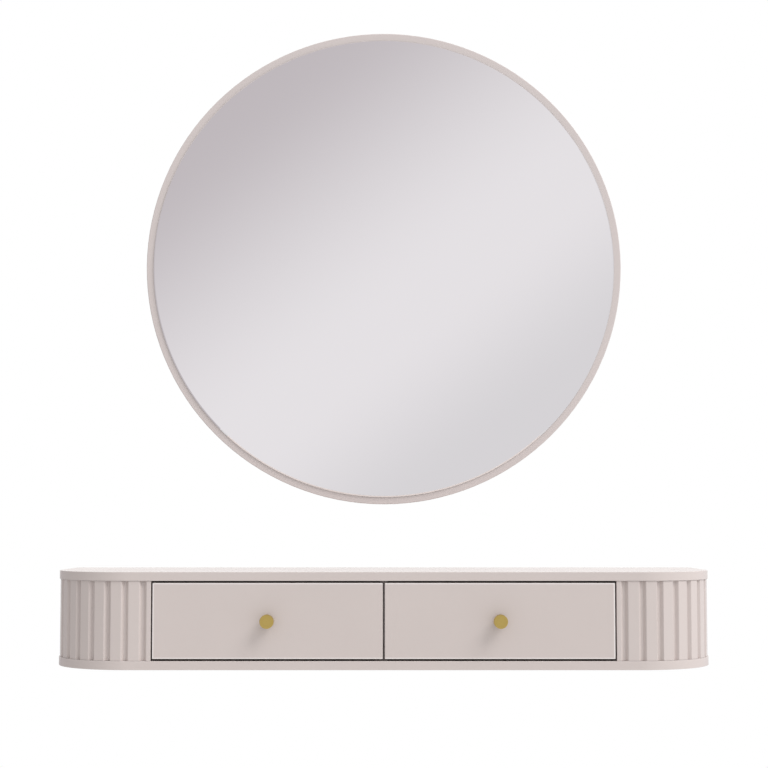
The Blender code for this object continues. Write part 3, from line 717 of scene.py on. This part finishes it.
zinc_values = {"Pale": ZINC_PALE, "Dark": ZINC_DARK, "Lines": 900.0, "Smooth": 0.29}
brass_values = {"Pale": BRASS_PALE, "Dark": BRASS_DARK, "Lines": 2600.0, "Smooth": 0.30}
zinc = metal_finish("zinc_plated_steel", along_strip, zinc_values)
screw_zinc = metal_finish("zinc_plated_screw", round_axis, zinc_values)
brass = metal_finish("turned_satin_brass", round_axis, brass_values)
print("made", zinc.name, screw_zinc.name, brass.name)

# %% [markdown]
# Silvered glass
#
# A mirror is a sheet of float glass with silver behind it. Seen from the front only the silver
# matters, so instead of clear glass over a metal the face is a nearly perfect metal with the
# faintest haze of wiping. The edge is different: there you look into the glass itself, which is a
# greyish green, and its ground surface scatters light.

# %% Finishes: mirror face and ground glass edge
SILVER = (0.955, 0.952, 0.953, 1.0)
HAZE_PER_METRE = 9.0
HAZE_FROM = 0.35
HAZE_FULL = 0.75
SILVER_CLEAR = 0.004
SILVER_HAZY = 0.022
GLASS_EDGE_DEEP = (0.35, 0.415, 0.385, 1.0)
GLASS_EDGE_PALE = (0.43, 0.49, 0.46, 1.0)
GRINDING_PER_METRE = 2500.0
GRINDING_DEEP_BELOW = 0.35
GRINDING_PALE_ABOVE = 0.65
GLASS_EDGE_SMOOTH = 0.30
GLASS_EDGE_ROUGH = 0.45

silver, tree, shader, coordinates = new_finish("silvered_face")
shader.inputs["Metallic"].default_value = 1.0
shader.inputs["Base Color"].default_value = SILVER
haze = noise(tree, coordinates["Object"], HAZE_PER_METRE, detail=4.0, distortion=1.0)
roughness = stretch(tree, haze, HAZE_FROM, HAZE_FULL, SILVER_CLEAR, SILVER_HAZY)
tree.links.new(roughness, shader.inputs["Roughness"])

glass_edge, tree, shader, coordinates = new_finish("ground_glass_edge")
grinding = noise(tree, coordinates["Object"], GRINDING_PER_METRE, detail=3.0)
share = stretch(tree, grinding, GRINDING_DEEP_BELOW, GRINDING_PALE_ABOVE)
colour = mix_colours(tree, share, GLASS_EDGE_DEEP, GLASS_EDGE_PALE)
tree.links.new(colour, shader.inputs["Base Color"])
roughness = spread(tree, grinding, GLASS_EDGE_SMOOTH, GLASS_EDGE_ROUGH)
tree.links.new(roughness, shader.inputs["Roughness"])
print("made", silver.name, "and", glass_edge.name)

# %% [markdown]
# Making pieces
#
# Each new piece is a mesh that stands for one part of the construction. It rides on the same body
# as that part, so that it moves with it, and the part itself is hidden. Plain smooth shading would
# make flat boards look swollen. Weighted normals keep large faces flat while the narrow rounded
# edges beside them stay smooth.

# %% Helpers for pieces
SMOOTH_BELOW = math.radians(50)
SHARP_ABOVE = math.radians(35)
ROUND_PROFILE = 0.5


def finish_piece(name, shape, finishes, smooth_below=SMOOTH_BELOW):
    """An object with its finishes, shaded smooth over edges that turn by less than an angle."""
    bmesh.ops.recalc_face_normals(shape, faces=shape.faces)
    piece = scene_object(name, shape)
    for finish in finishes:
        piece.data.materials.append(finish)
    piece.data.shade_smooth()
    piece.data.set_sharp_from_angle(angle=smooth_below)
    weigh = piece.modifiers.new("flat_faces", "WEIGHTED_NORMAL")
    weigh.keep_sharp = True
    return piece


def stand_for(piece, node):
    """Makes a piece ride with a part and take its place."""
    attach(piece, carrier[node])
    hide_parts(node)


def sharp_edges(shape):
    """Edges that turn by more than the angle that counts as sharp."""
    return [edge for edge in shape.edges if edge.calc_face_angle(0.0) > SHARP_ABOVE]


def round_over(shape, edges, width, steps):
    """Rounds edges with a number of flat steps."""
    sizes = {"offset": width, "segments": steps, "profile": ROUND_PROFILE}
    bmesh.ops.bevel(shape, geom=edges, affect="EDGES", **sizes)


print("piece helpers are ready")

# %% [markdown]
# Top and bottom boards
#
# Both boards have the same plan: square at the wall and round at the front corners. A flattened
# cube with two rounded corners would do, but the fluted ends need a drawn plan anyway, so one
# helper gives any outline its thickness. All the rims are then rounded over, as a router does
# before painting.

# %% Top and bottom boards
CORNER_RADIUS = 0.121
CORNER_STEPS = 48
BOARD_ROUND = 0.0005
BOARD_ROUND_STEPS = 4


def plate(outline, low, high):
    """A flat outline given its thickness."""
    shape = bmesh.new()
    shape.faces.new([shape.verts.new((x, y, low)) for x, y in outline])
    lifted = bmesh.ops.extrude_face_region(shape, geom=shape.faces[:])["geom"]
    moved = [item for item in lifted if isinstance(item, bmesh.types.BMVert)]
    bmesh.ops.translate(shape, verts=moved, vec=(0.0, 0.0, high - low))
    bmesh.ops.recalc_face_normals(shape, faces=shape.faces)
    return shape


def arc(middle_x, middle_y, radius, start, end, steps):
    """Points along an arc, with angles in degrees."""
    angles = [math.radians(start + (end - start) * i / steps) for i in range(steps + 1)]
    return [(middle_x + radius * math.cos(a), middle_y + radius * math.sin(a)) for a in angles]


for node in ("top_board", "bottom_board"):
    low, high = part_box(node)
    corner_x = high.x - CORNER_RADIUS
    corner_y = low.y + CORNER_RADIUS
    plan = [(high.x, high.y), (low.x, high.y)]
    plan += arc(-corner_x, corner_y, CORNER_RADIUS, 180, 270, CORNER_STEPS)
    plan += arc(corner_x, corner_y, CORNER_RADIUS, 270, 360, CORNER_STEPS)
    shape = plate(plan, low.z, high.z)
    round_over(shape, sharp_edges(shape), BOARD_ROUND, BOARD_ROUND_STEPS)
    piece = finish_piece("lacquered_" + node, shape, [lacquer])
    stand_for(piece, node)
    print(piece.name, len(piece.data.polygons), "faces")

# %% [markdown]
# The bend of the fluted ends
#
# Each end is one board with V-shaped grooves, bent round the corner. Separate slats along a curve
# would show seams that the real panel doesn't have. So its plan is laid out along the bend: we
# walk along the crest line and note how deep the surface lies behind it. This function then bends
# each point to its place in the plan.

# %% Helper for the bend
low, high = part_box("right_fluted_panel")
bend_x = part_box("top_board")[1].x - CORNER_RADIUS
bend_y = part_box("top_board")[0].y + CORNER_RADIUS
crest_radius = high.x - bend_x
straight_run = bend_x - low.x
bend_run = crest_radius * math.pi / 2
panel_run = straight_run + bend_run - bend_y


def bent(distance, depth):
    """Plan point a distance along the crest line and a depth behind it, on the right end."""
    if distance <= straight_run:
        return (low.x + distance, low.y + depth)
    if distance <= straight_run + bend_run:
        angle = (distance - straight_run) / crest_radius
        radius = crest_radius - depth
        return (bend_x + radius * math.sin(angle), bend_y - radius * math.cos(angle))
    return (high.x - depth, bend_y + distance - straight_run - bend_run)


print("the fluted panels are", round(1000 * panel_run), "mm long before the bend")

# %% [markdown]
# Fluted ends
#
# The section runs along the grooved face and back along the smooth one. The left end is the right
# one mirrored. Only the upright edges are rounded, since the boards cover the ends.

# %% Fluted end panels
PANEL_THICKNESS = 0.0095
FIRST_SLAT = 0.0066
FLUTE_PITCH = 0.0268
FLUTE_MOUTH = 0.0105
FLUTE_FLOOR = 0.003
FLUTE_DEPTH = 0.0050
LAST_SLAT_LEAST = 0.004
FLUTE_ROUND = 0.0008
FLUTE_ROUND_STEPS = 3
BEND_STEPS = 48

section = [(0.0, 0.0)]
start = FIRST_SLAT
wall = (FLUTE_MOUTH - FLUTE_FLOOR) / 2
while start + FLUTE_MOUTH + LAST_SLAT_LEAST < panel_run:
    section += [(start, 0.0), (start + wall, FLUTE_DEPTH)]
    section += [(start + wall + FLUTE_FLOOR, FLUTE_DEPTH), (start + FLUTE_MOUTH, 0.0)]
    start += FLUTE_PITCH
section += [(panel_run, 0.0), (panel_run, PANEL_THICKNESS)]
for i in range(BEND_STEPS, -1, -1):
    section.append((straight_run + bend_run * i / BEND_STEPS, PANEL_THICKNESS))
section.append((0.0, PANEL_THICKNESS))
plan = [bent(distance, depth) for distance, depth in section]

for side, sign in (("left", -1), ("right", 1)):
    node = side + "_fluted_panel"
    shape = plate([(sign * x, y) for x, y in plan], low.z, high.z)
    upright = [edge for edge in sharp_edges(shape) if edge.verts[0].co.xy == edge.verts[1].co.xy]
    round_over(shape, upright, FLUTE_ROUND, FLUTE_ROUND_STEPS)
    piece = finish_piece("lacquered_" + node, shape, [lacquer])
    stand_for(piece, node)
    print(piece.name, len(piece.data.polygons), "faces")

# %% [markdown]
# Panels, boxes and rails
#
# The remaining flat parts already have the right shape, but a computed edge is perfectly sharp,
# and a real one never is. Drawing them all again would be wasted work, so a soft copy takes the
# part's own surface, joins its triangles into whole faces and rounds what is sharp. Parts that
# already have a rounded edge are only shaded smooth. A screw hole's rim is made of short edges
# that lie closer to the next ones than a round is wide, so the cleats get their rounds on long
# edges only.

# %% Soft copies of the flat parts
JOIN_DISTANCE = 0.000005
FLAT_ANGLE = math.radians(0.5)
CLEAT_ROUND = 0.0008
SOFT_STEPS = 2
LONG_EDGE = 0.005


def soft_copy(node, prefix, finish, width=0.0, longer_than=0.0):
    """A copy of a part in its place, with its longer sharp edges rounded by a width."""
    shape = bmesh.new()
    shape.from_mesh(nodes[node].data)
    bmesh.ops.remove_doubles(shape, verts=shape.verts, dist=JOIN_DISTANCE)
    bmesh.ops.dissolve_limit(shape, angle_limit=FLAT_ANGLE, verts=shape.verts, edges=shape.edges)
    if width:
        edges = [edge for edge in sharp_edges(shape) if edge.calc_length() > longer_than]
        round_over(shape, edges, width, SOFT_STEPS)
    piece = finish_piece(prefix + node, shape, [finish])
    stand_for(piece, node)


for node in ("left_gable", "right_gable", "centre_divider"):
    soft_copy(node, "lacquered_", lacquer)
soft_copy("back_panel", "lacquered_", lacquer_bare_back)
soft_copy("mirror_board", "lacquered_", mirror_lacquer)
for node in ("hung_cleat", "wall_cleat"):
    soft_copy(node, "planed_", pine, CLEAT_ROUND, LONG_EDGE)
print("soft copies of the case parts are made")

# %% [markdown]
# Drawers
#
# The fronts are lacquered all round. The boxes are plywood: the sides carry their plies on the
# upper edge, where they show when a drawer is open. The runners are folded from steel strip, so
# their corners get a small radius. Both drawers have the same pieces, so one loop dresses them.

# %% Drawer fronts, boxes and runners
RAIL_ROUND = 0.0003
BOX_SOFTENING = 0.0005

for side in ("left", "right"):
    drawer = side + "_drawer_"
    soft_copy(drawer + "front", "lacquered_", front_lacquer)
    for flank in ("divider", "gable"):
        soft_copy(drawer + flank + "_side", "plywood_", side_ply)
        for rail in ("cabinet", "middle", "drawer"):
            node = drawer + flank + "_" + rail + "_rail"
            soft_copy(node, "folded_", zinc, RAIL_ROUND)
    soft_copy(drawer + "back", "plywood_", back_ply)
    soft_copy(drawer + "bottom", "plywood_", bottom_ply, BOX_SOFTENING)
print("drawers are dressed")

# %% [markdown]
# Turned pieces
#
# Knobs, screws and the glass are round, so each is a profile that is spun about its axis. The
# profile runs from the middle of the visible end, over the edge and down the side. A Screw
# modifier could spin it too, but here the finished mesh is needed at once. More steps than the
# construction uses give a clean outline close up.

# %% Helpers for turned pieces
RIM_STEPS = 5
FACES_FRONT = (math.pi / 2, 0.0, 0.0)
FACES_BACK = (-math.pi / 2, 0.0, 0.0)


def turned(profile, steps):
    """Spins a profile of (radius, height) about the Z axis."""
    shape = bmesh.new()
    corners = [shape.verts.new((radius, 0.0, height)) for radius, height in profile]
    links = [shape.edges.new(pair) for pair in zip(corners, corners[1:])]
    full_turn = {"axis": (0, 0, 1), "cent": (0, 0, 0), "angle": 2 * math.pi}
    bmesh.ops.spin(shape, geom=corners + links, steps=steps, **full_turn)
    bmesh.ops.remove_doubles(shape, verts=shape.verts, dist=JOIN_DISTANCE)
    bmesh.ops.recalc_face_normals(shape, faces=shape.faces)
    return shape


def rounded_rim(radius, height, rounding, steps=RIM_STEPS):
    """Profile points over a rounded rim, from the flat end to the side."""
    return arc(radius - rounding, height - rounding, rounding, 90, 0, steps)


def seat(piece, low, high, facing):
    """Sets a turned piece on the middle of a box's rear face and turns it to face a way."""
    piece.location = ((low.x + high.x) / 2, high.y, (low.z + high.z) / 2)
    piece.rotation_euler = facing


print("the lathe is ready")

# %% [markdown]
# Knobs
#
# Each knob is a short brass cylinder on a thinner neck, with a small foot against the drawer
# front. A chamfer would look machined and cold, so the rim is a small round that catches a line of
# light.

# %% Knobs
KNOB_HEAD = 0.013
KNOB_ROUND = 0.0008
KNOB_NECK_RADIUS = 0.0055
KNOB_SHOULDER = 0.002
KNOB_FOOT_RADIUS = 0.007
KNOB_FOOT_HEIGHT = 0.002
KNOB_FOOT_ROUND = 0.0005
KNOB_FOOT_STEPS = 3
KNOB_STEPS = 96

for side in ("left", "right"):
    node = side + "_drawer_knob"
    low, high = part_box(node)
    radius = (high.x - low.x) / 2
    reach = high.y - low.y
    head_low = reach - KNOB_HEAD
    profile = [(0.0, reach)] + rounded_rim(radius, reach, KNOB_ROUND)
    profile += [(radius, head_low), (KNOB_NECK_RADIUS, head_low - KNOB_SHOULDER)]
    profile += [(KNOB_NECK_RADIUS, KNOB_FOOT_HEIGHT)]
    profile += rounded_rim(KNOB_FOOT_RADIUS, KNOB_FOOT_HEIGHT, KNOB_FOOT_ROUND, KNOB_FOOT_STEPS)
    profile += [(KNOB_FOOT_RADIUS, 0.0), (0.0, 0.0)]
    piece = finish_piece("turned_" + node, turned(profile, KNOB_STEPS), [brass])
    seat(piece, low, high, FACES_FRONT)
    stand_for(piece, node)
    print(piece.name, round(1000 * (high.x - low.x), 1), "mm across")

# %% [markdown]
# Mirror glass
#
# The glass is a disc, a little smaller than its painted board and standing proud of it, so that
# the lamp draws a thin shadow beside its lower left edge. A narrow polished bevel runs round its
# front, as on many round mirrors, and keeps that shadow narrow. The bevel's edges stay crisp,
# because smooth shading across them would bend what the mirror shows. Faces that look forward,
# the bevel among them, get the silvered finish and the rest is ground glass edge.

# %% Mirror glass
GLASS_BEVEL = 0.0020
GLASS_STEPS = 256
GLASS_SMOOTH_BELOW = math.radians(30)
FORWARD = 0.5

low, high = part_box("mirror_glass")
radius = (high.x - low.x) / 2
thickness = high.y - low.y
profile = [(0.0, thickness), (radius - GLASS_BEVEL, thickness), (radius, thickness - GLASS_BEVEL)]
profile += [(radius, 0.0), (0.0, 0.0)]
shape = turned(profile, GLASS_STEPS)
for face in shape.faces:
    face.material_index = 0 if face.normal.z > FORWARD else 1
glass = finish_piece("silvered_mirror_glass", shape, [silver, glass_edge], GLASS_SMOOTH_BELOW)
seat(glass, low, high, FACES_FRONT)
stand_for(glass, "mirror_glass")
print("glass is", round(1000 * (high.x - low.x), 1), "mm across")

# %% [markdown]
# Cross recesses
#
# The screws have the cross recess that a driver fits. It is two crossed slots with slanted ends.
# They could be drawn into the head face by face, but a Boolean cuts them as a punch stamps the real
# ones, and it works for any head. The cutter is only a tool, so it is removed again.

# %% Helpers for cross recesses
RECESS_WIDTH_SHARE = 0.13
RECESS_LENGTH_SHARE = 0.62
RECESS_DEPTH_SHARE = 0.225
RECESS_END_SHARE = 0.45
RECESS_FLOOR_SHARE = 0.8


def cross_cutter(head, depth):
    """Two crossed bars that narrow downwards, sunk to a depth below height 0."""
    shape = bmesh.new()
    for quarter in (0, 1):
        bar = bmesh.ops.create_cube(shape, size=1.0)["verts"]
        for corner in bar:
            sunk = corner.co.z < 0
            length_share = RECESS_LENGTH_SHARE * (RECESS_END_SHARE if sunk else 1.0)
            width_share = RECESS_WIDTH_SHARE * (RECESS_FLOOR_SHARE if sunk else 1.0)
            along = corner.co.x * head * length_share
            aside = corner.co.y * head * width_share
            level = -depth if sunk else depth
            corner.co = (aside, along, level) if quarter else (along, aside, level)
    return shape


def cut_recess(shape, head):
    """The same shape with a cross recess in its head."""
    blank = scene_object("screw_blank", shape)
    cutter = scene_object("recess_cutter", cross_cutter(head, head * RECESS_DEPTH_SHARE))
    boolean = blank.modifiers.new("recess", "BOOLEAN")
    boolean.object = cutter
    boolean.use_self = True
    bpy.context.view_layer.update()
    evaluated = blank.evaluated_get(bpy.context.evaluated_depsgraph_get())
    result = bmesh.new()
    result.from_mesh(evaluated.to_mesh())
    for used in (blank, cutter):
        bpy.data.objects.remove(used, do_unlink=True)
    return result


print("the recess cutter is ready")

# %% [markdown]
# Screws
#
# A screw has either a flat head that sinks into its hole, as in the cleats, or a low domed one
# that lies on top, as in the hangers and runners. Each kind has its own profile for the lathe.
# Threads are left out, because every screw is driven home and only its head can be seen.

# %% Helpers for screws
DOME_SHARE = 0.8
SCREW_STEPS = 48


def countersunk_profile(length, head, shank):
    """A flat head on a cone, its top at height 0."""
    cone = (head - shank) / 2
    shaft = [(shank / 2, -cone), (shank / 2, -length), (0.0, -length)]
    return [(0.0, 0.0), (head / 2, 0.0)] + shaft


def pan_profile(length, head, head_height, shank):
    """A low domed head, its top at height 0."""
    rim = [(0.0, 0.0)] + rounded_rim(head / 2, 0.0, head_height * DOME_SHARE)
    neck = [(head / 2, -head_height), (shank / 2, -head_height)]
    return rim + neck + [(shank / 2, -length), (0.0, -length)]


def make_screw(name, profile, head):
    """A turned screw with a cross recess in its head."""
    return finish_piece(name, cut_recess(turned(profile, SCREW_STEPS), head), [screw_zinc])


def drive_screw(node, profile_of, head, *sizes):
    """A screw with its head towards the wall, as long as the part that it stands for."""
    low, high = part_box(node)
    profile = profile_of(high.y - low.y, head, *sizes)
    piece = make_screw("driven_" + node, profile, head)
    seat(piece, low, high, FACES_BACK)
    stand_for(piece, node)


print("screw helpers are ready")

# %% [markdown]
# Screws that face the wall
#
# Four countersunk screws hold the hanging cleat, two small pan-head screws hold each hanger plate
# of the mirror, and a pan-head bolt goes through each drawer front into its knob. The construction
# knows where they are and how long, so only the sizes of heads and shanks are given here.

# %% Cleat screws, hanger plates and knob bolts
CLEAT_SCREW_COUNT = 4
CLEAT_SCREW_HEAD = 0.008
CLEAT_SCREW_SHANK = 0.004
HANGER_SCREW_HEAD = 0.006
HANGER_SCREW_HEAD_HEIGHT = 0.0011
HANGER_SCREW_SHANK = 0.003
HANGER_ROUND = 0.0002
BOLT_HEAD = 0.008
BOLT_HEAD_HEIGHT = 0.0025
BOLT_SHANK = 0.004

for number in range(1, CLEAT_SCREW_COUNT + 1):
    node = "cleat_screw_" + str(number)
    drive_screw(node, countersunk_profile, CLEAT_SCREW_HEAD, CLEAT_SCREW_SHANK)
hanger_sizes = (HANGER_SCREW_HEAD, HANGER_SCREW_HEAD_HEIGHT, HANGER_SCREW_SHANK)
bolt_sizes = (BOLT_HEAD, BOLT_HEAD_HEIGHT, BOLT_SHANK)
for side in ("left", "right"):
    soft_copy(side + "_hanger", "pressed_", zinc, HANGER_ROUND)
    for word in ("lower", "upper"):
        drive_screw(side + "_hanger_" + word + "_screw", pan_profile, *hanger_sizes)
    drive_screw(side + "_drawer_knob_bolt", pan_profile, *bolt_sizes)
print("screws, hangers and bolts are in place")

# %% [markdown]
# Runner screws
#
# Each drawer rail is screwed to its drawer side through two round holes. The heads lie in the
# hollow of the rail, where they show when the drawer is open. They belong to no part of the
# construction, so they only ride with the drawer. A screw is turned upright, so its axis is swung
# over until the head points away from the drawer.

# %% Screws in the drawer rails
RAIL_GAUGE = 0.0012
RAIL_HOLE_INSET = 0.035
RAIL_SCREW_HEAD = 0.0075
RAIL_SCREW_HEAD_HEIGHT = 0.002
RAIL_SCREW_SHANK = 0.0038

sizes = (RAIL_SCREW_HEAD, RAIL_SCREW_HEAD_HEIGHT, RAIL_SCREW_SHANK)
profile = pan_profile(RAIL_SCREW_HEAD_HEIGHT + RAIL_GAUGE, *sizes)
for side, sign in (("left", -1), ("right", 1)):
    for flank, outwards in (("divider", -sign), ("gable", sign)):
        node = side + "_drawer_" + flank + "_drawer_rail"
        low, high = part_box(node)
        web = low.x if outwards > 0 else high.x
        top_x = web + outwards * (RAIL_GAUGE + RAIL_SCREW_HEAD_HEIGHT)
        for word, y in (("front", low.y + RAIL_HOLE_INSET), ("rear", high.y - RAIL_HOLE_INSET)):
            piece = make_screw(node + "_" + word + "_screw", profile, RAIL_SCREW_HEAD)
            piece.location = (top_x, y, (low.z + high.z) / 2)
            piece.rotation_euler = (0.0, outwards * math.pi / 2, 0.0)
            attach(piece, carrier[node])
print("runner screws are in place")
